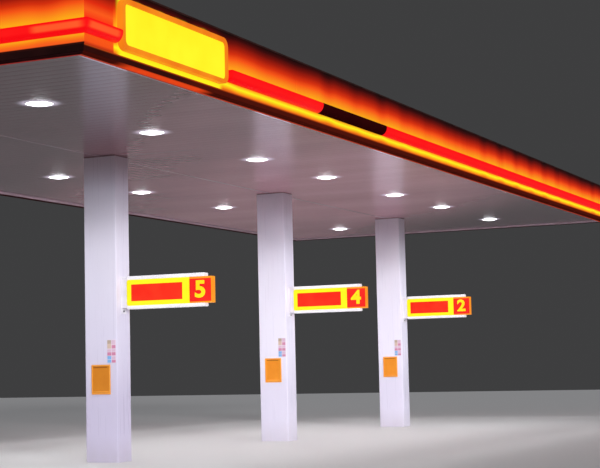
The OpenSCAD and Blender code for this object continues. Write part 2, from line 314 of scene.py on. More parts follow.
def piece(bm, name, finishes, replaced=(), crease=crease_angle):
    """Finishes a bmesh as a piece of the canopy that keeps its place in its mesh."""
    bmesh.ops.recalc_face_normals(bm, faces=bm.faces)
    for face in bm.faces:
        face.smooth = True
    for edge in bm.edges:
        edge.smooth = edge.is_manifold and edge.calc_face_angle(0.0) < math.radians(crease)
    made = add_object(name, finished_mesh(bm, name))
    for finish in finishes:
        made.data.materials.append(finish.material)
    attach(made, "root")
    if replaced:
        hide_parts(*replaced)
    print(f"{name}: {len(made.data.polygons)} faces")
    return made

# %% Small forms
weld_dist = 1e-5


def new_parts(result, kind):
    """The vertices, edges or faces in what an operator gave back."""
    return [part for part in result["geom"] if isinstance(part, kind)]


def edges_of(verts):
    """The edges with both ends among these vertices."""
    inside = set(verts)
    return [e for e in {e for v in verts for e in v.link_edges} if set(e.verts) <= inside]


def round_edges(bm, edges, radius, segments=2):
    bmesh.ops.bevel(bm, geom=list(edges), offset=radius, offset_type="OFFSET", segments=segments,
                    profile=0.5, affect="EDGES", material=-1, clamp_overlap=True)


def block(bm, low, high, edge=0.0, segments=2, finish=0):
    """A box between two corners, with its edges rounded."""
    low, high = Vector(low), Vector(high)
    size = high - low
    place = Matrix.Translation((low + high) / 2) @ Matrix.Diagonal((*size, 1.0))
    verts = bmesh.ops.create_cube(bm, size=1.0, matrix=place)["verts"]
    for face in {f for v in verts for f in v.link_faces}:
        face.material_index = finish
    if edge:
        round_edges(bm, edges_of(verts), edge, segments)


def add_copy(bm, build, place):
    """Builds a form about the origin, places it with a matrix and adds it to the mesh."""
    one = bmesh.new()
    build(one)
    one.transform(place)
    bm.from_mesh(finished_mesh(one, "one_copy"))


def cylinder(bm, radius, height, sides, place):
    """A cylinder, or a prism with few sides, about the middle of the place."""
    return bmesh.ops.create_cone(bm, cap_ends=True, segments=sides, radius1=radius, radius2=radius,
                                 depth=height, matrix=place)["verts"]


def inset(bm, face, thickness, depth):
    """Draws a rim inside a face and moves the face out by the depth; gives the rim back."""
    return bmesh.ops.inset_region(bm, faces=[face], thickness=thickness, depth=depth)["faces"]


print("small forms ready")

# %% [markdown]
# ## Runs along the edge of the roof
# Strip, trim, light bar and flashing are long lengths with one section, mitred at
# the corners like a picture frame. A curve with a bevel object could sweep them, but
# a mitre is simpler as a sum: a point that is 0.2 m further out also reaches
# 0.2 m further along. So the section is drawn once, extruded, and the two end
# rings are moved into place.

# %% Run helper
side_turn = {"front": 0.0, "far": 90.0, "back": 180.0, "near": 270.0}
side_kind = {"front": "long", "far": "short", "back": "long", "near": "short"}


def side_sizes(side):
    """Half the length of a side's soffit edge, and its distance from the roof's middle."""
    return (half_l, half_w) if side_kind[side] == "long" else (half_w, half_l)


def side_place(side):
    """The matrix that carries the front-like side frame to its side of the roof."""
    return Matrix.Translation((mid_x, 0, 0)) @ Matrix.Rotation(math.radians(side_turn[side]), 4, "Z")


def add_run(bm, side, section, start=None, stop=None):
    """Sweeps a section of (out, height) points along a side; ends that aren't given are mitred."""
    half, dist = side_sizes(side)
    first = [bm.verts.new((0.0, -dist - out, height)) for out, height in section]
    cap = bm.faces.new(first)
    grown = bmesh.ops.extrude_face_region(bm, geom=[cap])
    last = new_parts(grown, bmesh.types.BMVert)
    for v in first:
        v.co.x = -half - (-v.co.y - dist) if start is None else start
    for v in last:
        v.co.x = half + (-v.co.y - dist) if stop is None else stop
    bmesh.ops.transform(bm, matrix=side_place(side), verts=first + last)
    return first, last


def run_all_round(name, section, finish, node=None):
    """A piece with this section along each side of the roof, mitred at all corners."""
    for side in side_turn:
        bm = bmesh.new()
        add_run(bm, side, section)
        piece(bm, f"{name}_{side}", [finish], [f"{node}_{side}"] if node else ())


def arc(cx, cz, rx, rz, start, steps):
    """Points on a quarter of an ellipse, from an angle in degrees to 90 further."""
    angles = [math.radians(start + 90 * k / steps) for k in range(steps + 1)]
    return [(cx + rx * math.cos(a), cz + rz * math.sin(a)) for a in angles]


print("run helper ready for", list(side_turn))

# %% [markdown]
# ## Soffit slats
# The underside of such a roof is closed with long coated metal slats, 200 mm
# wide, that run across it. Each slat is very slightly crowned, and that is why
# reflections of the columns turn into long upright streaks. A bump map can't do
# that at a low angle, so the crown is real: one slat's section is repeated
# along X as a single outline, and the outline is extruded over the width. The
# round holes for the lights are cut last with a Boolean. The slats are first
# split on both sides of each row of lights and the holes' edges are marked
# sharp, or the shading of the cut faces would smear reflections along a slat.

# %% Where the lights are
bay = column_x[1] - column_x[0]
light_pair, light_shift, light_row, light_hole = 3.5, 0.15, 2.03, 0.18
light_x = [bay * (i - 1) + s * light_pair / 2 - light_shift
           for i in (-1, 0, 1, 2) for s in (-1, 1) if (i, s) != (-1, -1)]
print("lights at", [round(x, 2) for x in light_x])

# %% Soffit finish
slat_pitch = 0.2
painted_shade_slant = 1.1
painted_shade_near, painted_shade_corner, painted_shade_far = (-4.5, -9.5), (-10.0, -13.0), (0.0, 5.5)
glare_r = (light_hole + 0.24, light_hole - 0.02)


def off_lights(finish):
    """Distance from the middle of the nearest light, as seen from below."""
    along = finish.x.off_marks(light_x[0], bay).least(finish.x.off_marks(light_x[1], bay))
    across = abs(abs(finish.y) - light_row)
    return (along * along + across * across).root()


def make_soffit_coat():
    """Glossy pale mauve-grey coil coating, with painted shade towards its two ends and a painted glow round
    each light.
    """
    coat = Finish("soffit_coat", {"Specular IOR Level": 0.5, "Emission Strength": 1.0})
    film = coat.noise(0.9, 4.0, (0.5, 0.12, 1.0))
    slat_number = ((coat.x - near_x) / slat_pitch).floor()
    slat = coat.node("ShaderNodeTexWhiteNoise", {"noise_dimensions": "1D"}, {"W": slat_number}, "Value")
    shade = film.soft(0.3, 0.75) * 0.85 + slat * 0.15
    unshaded = coat.ramp(shade, [(0.0, "#c28e99"), (0.5, "#cc97a2"), (1.0, "#d5a0ab")])
    # Painted shade: the coat darkens towards both ends of the roof, along slanting lines.
    along = coat.x - (coat.y + half_w) * painted_shade_slant
    painted_end_shade = along.soft(*painted_shade_near) * 0.55 + along.soft(*painted_shade_corner) * 0.45 + along.soft(*painted_shade_far)
    coat.set("Base Color", coat.mix(painted_end_shade, unshaded, tint("#583840")))
    coat.set("Roughness", 0.19 + film.soft(0.2, 0.9) * 0.06)
    # A painted glow on the soffit round each light.
    glare = off_lights(coat).soft(*glare_r)
    coat.set("Emission Color", coat.dimmed(tint("#f0e6ff"), glare * glare * glare * 0.6))
    return coat


soffit_coat = make_soffit_coat()
print("soffit coat ready")

# %% Soffit slats
slat_gap, slat_crown, slat_return = 0.006, 0.0007, 0.012
crown_steps, round_steps = 6, 48
cutter_h = 0.2
strip_w, seam_half = 0.105, 0.002
hole_clear = light_hole + 0.03


def slat_outline(start, stop):
    """Underside of the slats from start to stop: crowned faces between narrow grooves."""
    points = []
    for k in range(math.ceil((stop - start - weld_dist) / slat_pitch)):
        left = start + k * slat_pitch + slat_gap / 2
        right_end = min(start + (k + 1) * slat_pitch, stop) - slat_gap / 2
        points.append((left, soffit_z + slat_return))
        for j in range(crown_steps + 1):
            across = 2 * j / crown_steps - 1
            x = left + (right_end - left) * j / crown_steps
            points.append((x, soffit_z + slat_crown * across ** 2))
        points.append((right_end, soffit_z + slat_return))
    return points


def holes_cutter(start, stop):
    """Cylinders at the lights of one length of soffit."""
    bm = bmesh.new()
    for x in light_x:
        for y in (-light_row, light_row):
            if start < x < stop:
                cylinder(bm, light_hole, cutter_h, round_steps, Matrix.Translation((x, y, soffit_z)))
    return add_object("holes", finished_mesh(bm, "holes"))


soffit_lengths = {"near": (near_x, column_x[0]), "bay_1": (column_x[0], column_x[1]),
                  "bay_2": (column_x[1], column_x[2]), "far": (column_x[2], far_x)}
for name, (start, stop) in soffit_lengths.items():
    bm = bmesh.new()
    inner = (start + (strip_w if name == "near" else 0), stop - (strip_w if name == "far" else 0))
    outline = slat_outline(*inner)
    outline += [(inner[1], soffit_z + slat_return), (inner[1], soffit_top)]
    outline += [(inner[0], soffit_top), (inner[0], soffit_z + slat_return)]
    for low, high in ((-half_w + strip_w, -seam_half), (seam_half, half_w - strip_w)):
        face = bm.faces.new([bm.verts.new((x, low, z)) for x, z in outline])
        grown = bmesh.ops.extrude_face_region(bm, geom=[face])
        bmesh.ops.translate(bm, vec=(0, high - low, 0), verts=new_parts(grown, bmesh.types.BMVert))
    bmesh.ops.remove_doubles(bm, verts=bm.verts, dist=weld_dist)
    for y in [row * light_row + side * hole_clear for row in (-1, 1) for side in (-1, 1)]:
        everything = bm.verts[:] + bm.edges[:] + bm.faces[:]
        bmesh.ops.bisect_plane(bm, geom=everything, plane_co=(0, y, 0), plane_no=(0, 1, 0))
    slats = piece(bm, f"soffit_slats_{name}", [soffit_coat], [f"soffit_{name}"])
    cutter = holes_cutter(start, stop)
    cut = slats.modifiers.new("light_holes", "BOOLEAN")
    cut.object = cutter
    cut.solver = "EXACT"
    cut_mesh = evaluated_mesh(slats)
    cut_mesh.set_sharp_from_angle(angle=math.radians(crease_angle))
    slats.modifiers.clear()
    slats.data = cut_mesh
    bpy.data.objects.remove(cutter)

# %% [markdown]
# ## Edge strip and joint strip
# Round the slats, the real soffit is closed by a flat, smooth strip about
# 100 mm wide. It shows as a band of sharp reflections beside the blurred ones of
# the slats. It is a run with a flat section, of brighter, half metallic sheet.
# Along the middle of the roof a narrow strip covers the joint between the two
# halves of the slats, and where a column ends, a collar closes the gap.

# %% Edge strips
strip_coat = cloudy("strip_coat", {"Specular IOR Level": 0.5, "Metallic": 0.55}, (0.7, 3.0),
                    ("#c0aab6", "#cfbcc8"), (0.04, 0.05))
strip_low, strip_high = soffit_z - 0.004, soffit_z + 0.02
strip_section = [(-strip_w, strip_low), (0.0, strip_low), (0.0, strip_high), (-strip_w, strip_high)]
run_all_round("edge_strip", strip_section, strip_coat)

# %% Joint strip and collars
joint_half, joint_drop, joint_lap, joint_edge = 0.011, 0.003, 0.004, 0.001
bm = bmesh.new()
block(bm, (near_x + strip_w, -joint_half, soffit_z - joint_drop),
      (far_x - strip_w, joint_half, soffit_z + joint_lap), joint_edge, 1)
piece(bm, "soffit_joint_strip", [strip_coat])

collar_paint = Finish("collar_paint", {"Specular IOR Level": 0.2, "Roughness": 0.6})
collar_grime = collar_paint.noise(8.0)
collar_paint.set("Base Color", collar_paint.tones(collar_grime, "#6a5055", "#7a6066"))
collar_in, collar_lap, collar_r = 0.004, 0.004, 0.018
for i, x in enumerate(column_x, 1):
    low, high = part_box(f"column_casing_{i}")
    bm = bmesh.new()
    block(bm, (low.x + collar_in, low.y + collar_in, high.z - collar_lap),
          (high.x - collar_in, high.y - collar_in, soffit_z))
    upright = [e for e in bm.edges if abs(e.verts[0].co.z - e.verts[1].co.z) > collar_lap]
    round_edges(bm, upright, collar_r, 4)
    piece(bm, f"head_collar_{i}", [collar_paint])

# %% [markdown]
# ## Downlights
# Two rows of seven round lights are set in the soffit. Each has a pressed white
# rim and a drop lens, a shallow lit dome that hangs a little below the rim. One
# profile, from the middle of the lens over the rim and up the can, is spun about
# the light's axis and then copied along the row, as a spun metal housing is
# itself made.

# %% Downlight finishes
def make_lens_finish():
    lens_glass = Finish("lens_lit", {"Roughness": 0.25, "Emission Strength": 6.0})
    ripple = lens_glass.noise(30.0, 1.0)
    lens_glass.set("Base Color", tint("#fdfdff"))
    lens_glass.set("Emission Color", lens_glass.tones(ripple, "#f4f4ff", "#ffffff"))
    return lens_glass


def make_rim_finish():
    rim = Finish("rim_white", {"Specular IOR Level": 0.5, "Emission Strength": 1.0})
    dust = rim.noise(14.0, 3.0)
    rim.set("Base Color", rim.tones(dust, "#dcd6dc", "#efecf2"))
    # A painted glow on the rim round the lens.
    rim.set("Emission Color", rim.dimmed(tint("#f6f0ff"), off_lights(rim).soft(rim_r, lens_r)))
    rim.set("Roughness", 0.22 + dust * 0.15)
    return rim


rim_r, rim_t = light_hole + 0.022, 0.008
lens_r = 0.176
lens_lit, rim_white = make_lens_finish(), make_rim_finish()
print("downlight finishes ready")

# %% Downlights
lens_low, can_top = (corner.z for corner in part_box("downlights_front"))
rim_low = soffit_z - rim_t
dome_steps = 8
hair = 0.001
lens_seat, rim_soft, rim_lap = 0.003, 0.006, 0.004


def spin_profile(bm, profile, steps):
    """Turns a line through points of (radius, height) about the Z axis into a closed skin."""
    verts = [bm.verts.new((r, 0.0, z)) for r, z in profile]
    edges = [bm.edges.new(pair) for pair in zip(verts, verts[1:])]
    bmesh.ops.spin(bm, geom=verts + edges, cent=(0, 0, 0), axis=(0, 0, 1), angle=math.tau, steps=steps,
                   use_merge=True)
    bmesh.ops.remove_doubles(bm, verts=bm.verts, dist=weld_dist)


def downlight(bm):
    """One light about the Z axis."""
    dome_h = rim_low + hair - lens_low
    dome = [(lens_r * share, lens_low + dome_h * share ** 2)
            for share in (k / dome_steps for k in range(dome_steps + 1))]
    can_r, can_low = light_hole - hair, soffit_z + rim_lap
    rim = [(lens_r + lens_seat, rim_low), (rim_r - rim_soft, rim_low + hair), (rim_r, rim_low + rim_soft),
           (rim_r, can_low), (can_r, can_low), (can_r, can_top), (0.0, can_top)]
    spin_profile(bm, dome + rim, round_steps)
    for face in bm.faces:
        on_lens = max(v.co.xy.length for v in face.verts) < lens_r + hair and face.verts[0].co.z < soffit_z
        face.material_index = 1 if on_lens else 0


light_rows = {"front": -light_row, "back": light_row}
for name, y in light_rows.items():
    bm = bmesh.new()
    for x in light_x:
        add_copy(bm, downlight, Matrix.Translation((x, y, 0.0)))
    piece(bm, f"downlight_row_{name}", [rim_white, lens_lit], [f"downlights_{name}"])

# %% [markdown]
# ## Trim under the fascia
# A rounded trim hides the joint between soffit and fascia. Its coating is dark
# red-brown, with a pale inner lip. A thin line of red light from the light bar
# lies along its underside, and under the sign the whole underside glows. The
# trim is a run with rounded edges. The glow is painted by the distance out from
# the soffit's edge and by the place along the front, because it follows the
# edge and not the mesh.

# %% Trim finish
def out_from_edge(finish):
    """Distance out from the soffit's edge, the same all round the roof."""
    return (abs(finish.x - mid_x) - half_l).most(abs(finish.y) - half_w)


sign_from, sign_to = near_x + 0.415, near_x + 3.05
trim_w = 0.165
mitre_blur = (-0.006, -0.001)
lip_out, line_out, spill_out = (0.014, 0.008), (0.028, 0.060, 0.010), (0.02, 0.09)
sign_glow_x, sign_glow_out = (near_x + 0.95, near_x + 2.45, 0.45), (0.07, 0.15, 0.03)


def side_mask(finish, side):
    """1 on the edge pieces of the front or the near side, up to the mitres, 0 elsewhere."""
    own = (0.0 - finish.y) - half_w if side == "front" else near_x - finish.x
    return (own - out_from_edge(finish)).soft(*mitre_blur)


def make_trim_coat():
    """Dark coating with a pale inner lip, and painted light: a red line, the sign's glow and a redder front
    side.
    """
    coat = Finish("trim_coat", {"Specular IOR Level": 0.0, "Emission Strength": 1.0})
    out = out_from_edge(coat)
    grime_and_glow = coat.noise(2.0, 4.0)
    front = side_mask(coat, "front")
    line = out.between(*line_out) * (0.75 + grime_and_glow * 0.6)
    line = line * (0.06 + front.most(side_mask(coat, "near")) * 0.94)
    under_sign = coat.x.between(*sign_glow_x) * front * out.between(*sign_glow_out)
    under_sign = under_sign * (0.75 + coat.noise(3.0, 1.0) * 0.4)
    lip = out.soft(*lip_out)
    # Painted light: on the front the coating is redder, as if lit by the fascia.
    dark = coat.mix(front, coat.tones(grime_and_glow, "#241011", "#351719"), tint("#40140d"))
    coat.set("Base Color", coat.mix(lip, dark, tint("#c4adb8")))
    spill = coat.dimmed(tint("#4a0f09"), front * out.soft(*spill_out) * 0.35)
    red_line = coat.mix(line, spill, coat.mix(front, tint("#96251f"), tint("#ab3a26")))
    coat.set("Emission Color", coat.mix(under_sign, red_line, tint("#e64416")))
    coat.set("Roughness", 0.35 + grime_and_glow * 0.2)
    return coat


trim_coat = make_trim_coat()
print("trim coat ready")

# %% Trims
trim_low, trim_high = (corner.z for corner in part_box("edge_trim_front"))
trim_r = 0.026
trim_section = [(0.0, trim_high)]
trim_section += arc(trim_r, trim_low + trim_r, trim_r, trim_r, 180, 8)
trim_section += arc(trim_w - trim_r, trim_low + trim_r, trim_r, trim_r, 270, 8)
trim_section += [(trim_w, trim_high)]
run_all_round("trim", trim_section, trim_coat, "edge_trim")

# %% [markdown]
# ## Dark band
# Between trim and fascia a narrow dark band slopes out. It shows as the black
# line that separates the lit fascia from the soffit. Its solid already has the
# right shape, so the node stays and only takes a new finish: dark satin paint,
# dustier in patches, with painted red light on the front and a painted glow
# along its upper edge on the long sides.

# %% Dark band
def dress(node, finish):
    """Gives a node of the frame its finish."""
    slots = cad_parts[node].data.materials
    slots.clear()
    slots.append(finish.material)


def make_band_paint():
    """Near-black paint with painted light: red on the front side, and a glow of the fascia above along the
    upper part of the long sides.
    """
    paint = Finish("band_paint", {"Specular IOR Level": 0.0, "Emission Strength": 1.0})
    dust = paint.noise(3.0, 5.0)
    front = side_mask(paint, "front")
    # Painted light: the front side is redder and glows faintly, less so near the near corner.
    front_light = front * (1 - paint.x.between(*front_light_dim_x) * 0.7)
    plain = paint.tones(dust, "#1c0d0d", "#2a1313")
    paint.set("Base Color", paint.mix(front_light, plain, tint("#40120b")))
    long_side = ((abs(paint.y) - half_w) - out_from_edge(paint)).soft(*mitre_blur)
    # Painted light of the fascia along the band's upper edge.
    caught = paint.z.soft(band_top - caught_h, band_top) * long_side
    glow = paint.mix(caught * caught, paint.dimmed(tint("#4c1008"), front_light * 0.45), tint("#c2480f"))
    paint.set("Emission Color", glow)
    paint.set("Roughness", 0.45 + dust * 0.25)
    return paint


band_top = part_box("lower_band_front")[1].z
caught_h, front_light_dim_x = 0.026, (near_x - 0.3, near_x + 1.8, 0.6)
band_paint = make_band_paint()
for side in side_turn:
    dress(f"lower_band_{side}", band_paint)
print("dark bands dressed")

# %% [markdown]
# ## Fascia
# The fascia is the upright face all round the roof. It is a plain coated sheet:
# its colours come from tube lamps behind the light bar, which wash it with
# light up and down. Close to the bar it is yellow, then orange, red, and nearly
# black at the coping. Each lamp makes a lobe, with a darker notch where two
# tubes meet, and a short length at each end of the long sides is duller. Real
# lamps would make this light noisy and slow to render, so the wash is written
# as a formula of the height, which every renderer shows alike.

# %% Fascia sizes and colours
fascia_low, fascia_high = (corner.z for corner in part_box("fascia_front"))
bar_low, bar_high = (corner.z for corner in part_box("light_bar_front_first"))
panel_pitch = 3.2
tube_pitch = panel_pitch / 3
first_joint = {"long": 5.3, "short": 0.3}
corner_unit, unit_blur = 0.40, 0.02
notch_reach, notch_blur = 0.34, 0.02
halo_in, halo_z = (0.01, 0.15), (fascia_low + 0.76, fascia_low + 0.68)
foot_z, coping_z = (fascia_low + 0.030, fascia_low + 0.018), (fascia_high - 0.018, fascia_high - 0.026)
upper_wash = [(0.38, "#ffb118"), (0.50, "#ff841a"), (0.59, "#fb5616"), (0.67, "#d8310d"),
              (0.76, "#a81d0b"), (0.85, "#70110a"), (0.93, "#3a0a0a"), (1.0, "#150a0a")]
lower_wash = {"long": [(0.0, "#e66c18"), (0.022, "#ff8f18"), (0.055, "#ffca19"), (0.09, "#fffa1f"),
                       (0.12, "#ffd41f"), (0.145, "#ffa51e")],
              "short": [(0.0, "#f25a1d"), (0.04, "#fb601f"), (0.07, "#fd6e1c"), (0.10, "#ff8418"),
                        (0.14, "#ffab1e")]}
dull_wash = [(0.0, "#b22c14"), (0.05, "#fa5418"), (0.2, "#fd6019"), (0.37, "#fa3014"),
             (0.50, "#ff5d1c"), (0.62, "#e62d0e"), (0.75, "#a01c0b"), (1.0, "#180b0b")]
print("light reaches from", round(fascia_low, 3), "to", round(fascia_high, 3))

# %% Fascia finish
def sign_halo(face):
    """Yellow light that spills from behind the sign, on the front side only."""
    mid, half = (sign_from + sign_to) / 2, (sign_to - sign_from) / 2
    sideways = abs(face.x - mid).soft(half - halo_in[0], half - halo_in[1])
    lobes = face.noise(2.2, 1.0, (1.0, 0.0, 0.0))
    upwards = (face.z + lobes * 0.10).soft(*halo_z)
    return sideways * upwards * (0.0 - face.y).soft(half_w, half_w + 0.1)


def make_fascia_wash(kind):
    """The wash of light by height, with notches between tubes and duller corner lengths."""
    face = Finish(f"fascia_wash_{kind}", {"Specular IOR Level": 0.04, "Emission Strength": 1.0})
    along = face.x - near_x if kind == "long" else face.y + half_w
    reach = 2 * half_l if kind == "long" else 2 * half_w
    height = (face.z - fascia_low) / (fascia_high - fascia_low)
    cloud = face.noise(0.55, 1.0, (1.0, 1.0, 0.1))
    notch = along.off_marks(first_joint[kind], tube_pitch).soft(notch_reach, notch_blur)
    dim = notch * (0.2 + cloud.soft(0.35, 0.65) * 0.8)
    above = height.soft(0.25, 0.35)
    shift = dim * (above * 0.06 - 0.02) + (0.5 - cloud) * above * 0.08
    wash = face.ramp(height + shift, lower_wash[kind] + upper_wash)
    if kind == "long":
        unit = along.least(reach - along).soft(corner_unit + unit_blur, corner_unit - unit_blur)
        wash = face.mix(unit, wash, face.ramp(height, dull_wash))
        wash = face.mix(sign_halo(face), wash, tint("#fff81e"))
    else:
        wash = face.mix(face.z.soft(*foot_z), wash, tint("#2a0f0d"))
    streak = face.noise(5.0, 3.0, (1.0, 1.0, 0.06))
    lit_face = out_from_edge(face).soft(fascia_out - 0.03, fascia_out - 0.005)
    lit_face = lit_face * face.z.soft(*coping_z)
    metal = face.tones(streak, "#2a1716", "#3b2422")
    face.set("Base Color", face.mix(lit_face, metal, face.dimmed(wash, 0.17 - streak * 0.08)))
    face.set("Emission Color", face.dimmed(wash, lit_face * 0.86))
    face.set("Roughness", 0.4 + streak * 0.25)
    return face


fascia_finish = {kind: make_fascia_wash(kind) for kind in ("long", "short")}
for side, kind in side_kind.items():
    dress(f"fascia_{side}", fascia_finish[kind])
print("fascias dressed")

# %% [markdown]
# The fascia is made of panels, and each joint has a flat cover strip in the
# same sheet, so that it takes the same wash of light and shows only as a fine
# line. The coping above has its own covers over its front lip. All of them are
# small blocks set along a side by one helper, which places a thing at a
# distance along the side and out from its edge.

# %% Joint strips and coping covers
def add_block_on(bm, side, mark, half, out, height, edge):
    """A block about a mark on a side, between two distances out from its edge and two heights."""
    dist = side_sizes(side)[1]
    before = set(bm.verts)
    block(bm, (mark - half, -dist - out[1], height[0]), (mark + half, -dist - out[0], height[1]), edge, 1)
    fresh = [v for v in bm.verts if v not in before]
    bmesh.ops.transform(bm, matrix=side_place(side), verts=fresh)


def joints_along(side):
    """Distances of the panel joints from the middle of a side."""
    half = side_sizes(side)[0]
    first = first_joint[side_kind[side]]
    if side in ("back", "far"):
        first = 2 * half - first
    count = round(2 * half / panel_pitch) + 2
    marks = [first + k * panel_pitch - half for k in range(-count, count)]
    return [mark for mark in marks if abs(mark) < half + 0.1]

# %% Strips and covers on all sides
cover_coat = cloudy("cover_coat", {"Specular IOR Level": 0.2}, (20.0, 3.0),
                    ("#2c1210", "#431b14"), (0.4, 0.2))
coping_low = fascia_high - 0.024
strip_half, strip_out = 0.014, (fascia_out - 0.002, fascia_out + 0.0025)
strip_z = (fascia_low + 0.003, coping_low - 0.001)
cover_half, cover_out = 0.03, (fascia_out + 0.012, fascia_out + 0.0148)
cover_z = (coping_low + 0.0005, fascia_high - 0.0005)
sheet_edge = 0.001
strips = {"long": bmesh.new(), "short": bmesh.new()}
covers = bmesh.new()
for side, kind in side_kind.items():
    for mark in joints_along(side):
        behind_sign = side == "front" and sign_from < mid_x + mark < sign_to
        if not behind_sign:
            add_block_on(strips[kind], side, mark, strip_half, strip_out, strip_z, sheet_edge)
        add_block_on(covers, side, mark, cover_half, cover_out, cover_z, sheet_edge)
for kind, bm in strips.items():
    piece(bm, f"fascia_joint_strips_{kind}", [fascia_finish[kind]])
piece(covers, "coping_joint_covers", [cover_coat])

# %% [markdown]
# ## Light bar
# The red bar is a translucent cover over a row of tubes. Its underside sweeps
# up and out, its upper edges are soft, and each length ends in a moulded cap.
# The front bar is broken by the sign, and one of its lengths isn't lit. The
# solid's section is drawn again here with more points, so that the sweep is
# smooth, and with its back a little off the fascia, because the light that
# washes the fascia comes out of that gap. Short brackets bridge it.

# %% Light bar finishes
def make_bar_lit():
    """Red light through a mottled cover, hotter at the corner of the front and near sides."""
    cover = Finish("bar_lit", {"Roughness": 0.4, "Specular IOR Level": 0.04})
    height = (cover.z - bar_low) / (bar_high - bar_low)
    mottle = cover.noise(*bar_clouds)
    colour = cover.mix(height.between(0.45, 0.7, 0.25) * mottle, tint("#f60810"), tint("#ff1c1a"))
    from_x, from_y = cover.x - near_x, cover.y + half_w
    on_front = (0.0 - from_y).soft(*cover_out_from) * from_x.between(*hot_front)
    on_near = (0.0 - from_x).soft(*cover_out_from) * from_y.between(*hot_near)
    hot = on_front.most(on_near) * height.between(0.42, 0.66, 0.20) * (0.45 + mottle * 0.6)
    cover.glow(cover.mix(hot, colour, tint("#ff642d")), 0.12, 0.96)
    return cover


def make_bar_unlit():
    cover = Finish("bar_unlit", {"Roughness": 0.4, "Specular IOR Level": 0.0})
    cover.set("Base Color", cover.tones(cover.noise(*bar_clouds), "#2a0507", "#38080b"))
    return cover


bar_clouds = (1.3, 2.0, (1.0, 1.0, 0.3))
cover_out_from, hot_front, hot_near = (0.195, 0.21), (-0.20, 0.28, 0.12), (-0.17, 0.34, 0.14)
bar_cover = {"bar_lit": make_bar_lit(), "bar_unlit": make_bar_unlit()}
print("bar covers ready")

# %% Light bars
bar_out = -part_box("light_bar_front_first")[0].y - half_w
bar_soft, bar_back_r, bar_end_r = 0.026, 0.034, 0.012
bar_gap = 0.016
bar_back = fascia_out + bar_gap
sweep_h = bar_high - bar_soft - bar_low
bar_section = arc(bar_back, bar_high - bar_soft, bar_out - bar_back, sweep_h, 270, 20)
bar_section += arc(bar_out - bar_soft, bar_high - bar_soft, bar_soft, bar_soft, 0, 8)[1:]
bar_section += arc(bar_back + bar_back_r, bar_high - bar_back_r, bar_back_r, bar_back_r, 90, 8)


def light_bar(name, side, slot, start=None, stop=None):
    """A length of the bar, with its cut ends rounded like moulded caps."""
    bm = bmesh.new()
    first, last = add_run(bm, side, bar_section, start, stop)
    for ring, cut in ((first, start), (last, stop)):
        if cut is not None:
            front_edges = [e for e in edges_of(ring) if len(e.link_faces) == 2]
            round_edges(bm, front_edges, bar_end_r, 3)
    piece(bm, f"bar_{name}", [bar_cover[slot]], [f"light_bar_{name}"], wide_crease)


def along_front(node):
    """Start and stop of a front node, from the middle of the side."""
    return [corner.x - mid_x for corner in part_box(node)]


for length in ("corner", "first", "unlit", "last"):
    start, stop = along_front(f"light_bar_front_{length}")
    slot = "bar_unlit" if length == "unlit" else "bar_lit"
    light_bar(f"front_{length}", "front", slot, None if length == "corner" else start,
              None if length == "last" else stop)
for side in ("far", "back", "near"):
    light_bar(side, side, "bar_lit")

# %% Brackets behind the bar
stay_half, stay_lap, stay_r = 0.02, 0.01, 0.003
stay_out = (fascia_out - 0.002, bar_back + stay_lap)
stay_z = (bar_low + 0.03, bar_low + 0.09)
gap_clear = 0.04
gap_from, gap_to = sign_from - mid_x - gap_clear, along_front("light_bar_front_first")[0] + gap_clear
stays = bmesh.new()
for side in side_turn:
    count = round(side_sizes(side)[0] / tube_pitch)
    for mark in [k * tube_pitch for k in range(-count, count + 1)]:
        in_gap = side == "front" and gap_from < mark < gap_to
        if not in_gap:
            add_block_on(stays, side, mark, stay_half, stay_out, stay_z, stay_r)
piece(stays, "bar_brackets", [cover_coat])

# %% [markdown]
# ## Sign panel
# In the gap of the front bar sits a sign. It is bare here: a bright yellow lit
# face inside a raised orange rim. One rounded outline is extruded for the body.
# An inset of the front face gives the rim its width, and pushing the inner face
# back makes it stand proud, just as the tray of such a sign is folded.

# %% Sign panel
panel_low, panel_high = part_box("bare_sign_panel")


def round_outline(width, height, radius, steps=8):
    """Points round a rectangle with round corners, about the origin."""
    w, h = width / 2 - radius, height / 2 - radius
    points = []
    for cx, cz, start in ((w, h, 0), (-w, h, 90), (-w, -h, 180), (w, -h, 270)):
        points += arc(cx, cz, radius, radius, start, steps)
    return points


panel_gloss = {"Roughness": 0.35, "Specular IOR Level": 0.1}
panel_face = glowing("panel_face", panel_gloss, (1.8, 2.0), ("#ffee1e", "#fffb28"), 0.2, 0.85)
panel_rim = glowing("panel_rim", panel_gloss, (2.5, 2.0), ("#f47a16", "#ff921c"), 0.2, 0.8)
panel_r, rim_edge, rim_flat, rim_step, rim_depth = 0.12, 0.008, 0.048, 0.006, 0.02
size = panel_high - panel_low
middle = (panel_high + panel_low) / 2
bm = bmesh.new()
outline = round_outline(size.x, size.z, panel_r)
base = bm.faces.new([bm.verts.new((middle.x + x, panel_high.y, middle.z + z)) for x, z in outline])
grown = bmesh.ops.extrude_face_region(bm, geom=[base])
front_face = new_parts(grown, bmesh.types.BMFace)[0]
bmesh.ops.translate(bm, vec=(0, -size.y, 0), verts=front_face.verts)
for face in bm.faces:
    face.material_index = 1
for thickness, depth in ((rim_edge, 0.0), (rim_flat, 0.0), (rim_step, -rim_depth)):
    inset(bm, front_face, thickness, depth)
front_face.material_index = 0
piece(bm, "sign_panel", [panel_face, panel_rim], ["bare_sign_panel"])

# %% [markdown]
# ## Column casings
# The steel posts are hidden in white casings of folded sheet with slightly
# rounded upright corners. The sheet is glossy, nearly white with a cool cast,
# faintly streaked from top to bottom by cleaning, with a little dust at the foot.
# Painted shade darkens every column lower down and under the soffit, and the
# first column all over. Two outlines, bridged to a ring and extruded, give it a
# real wall.

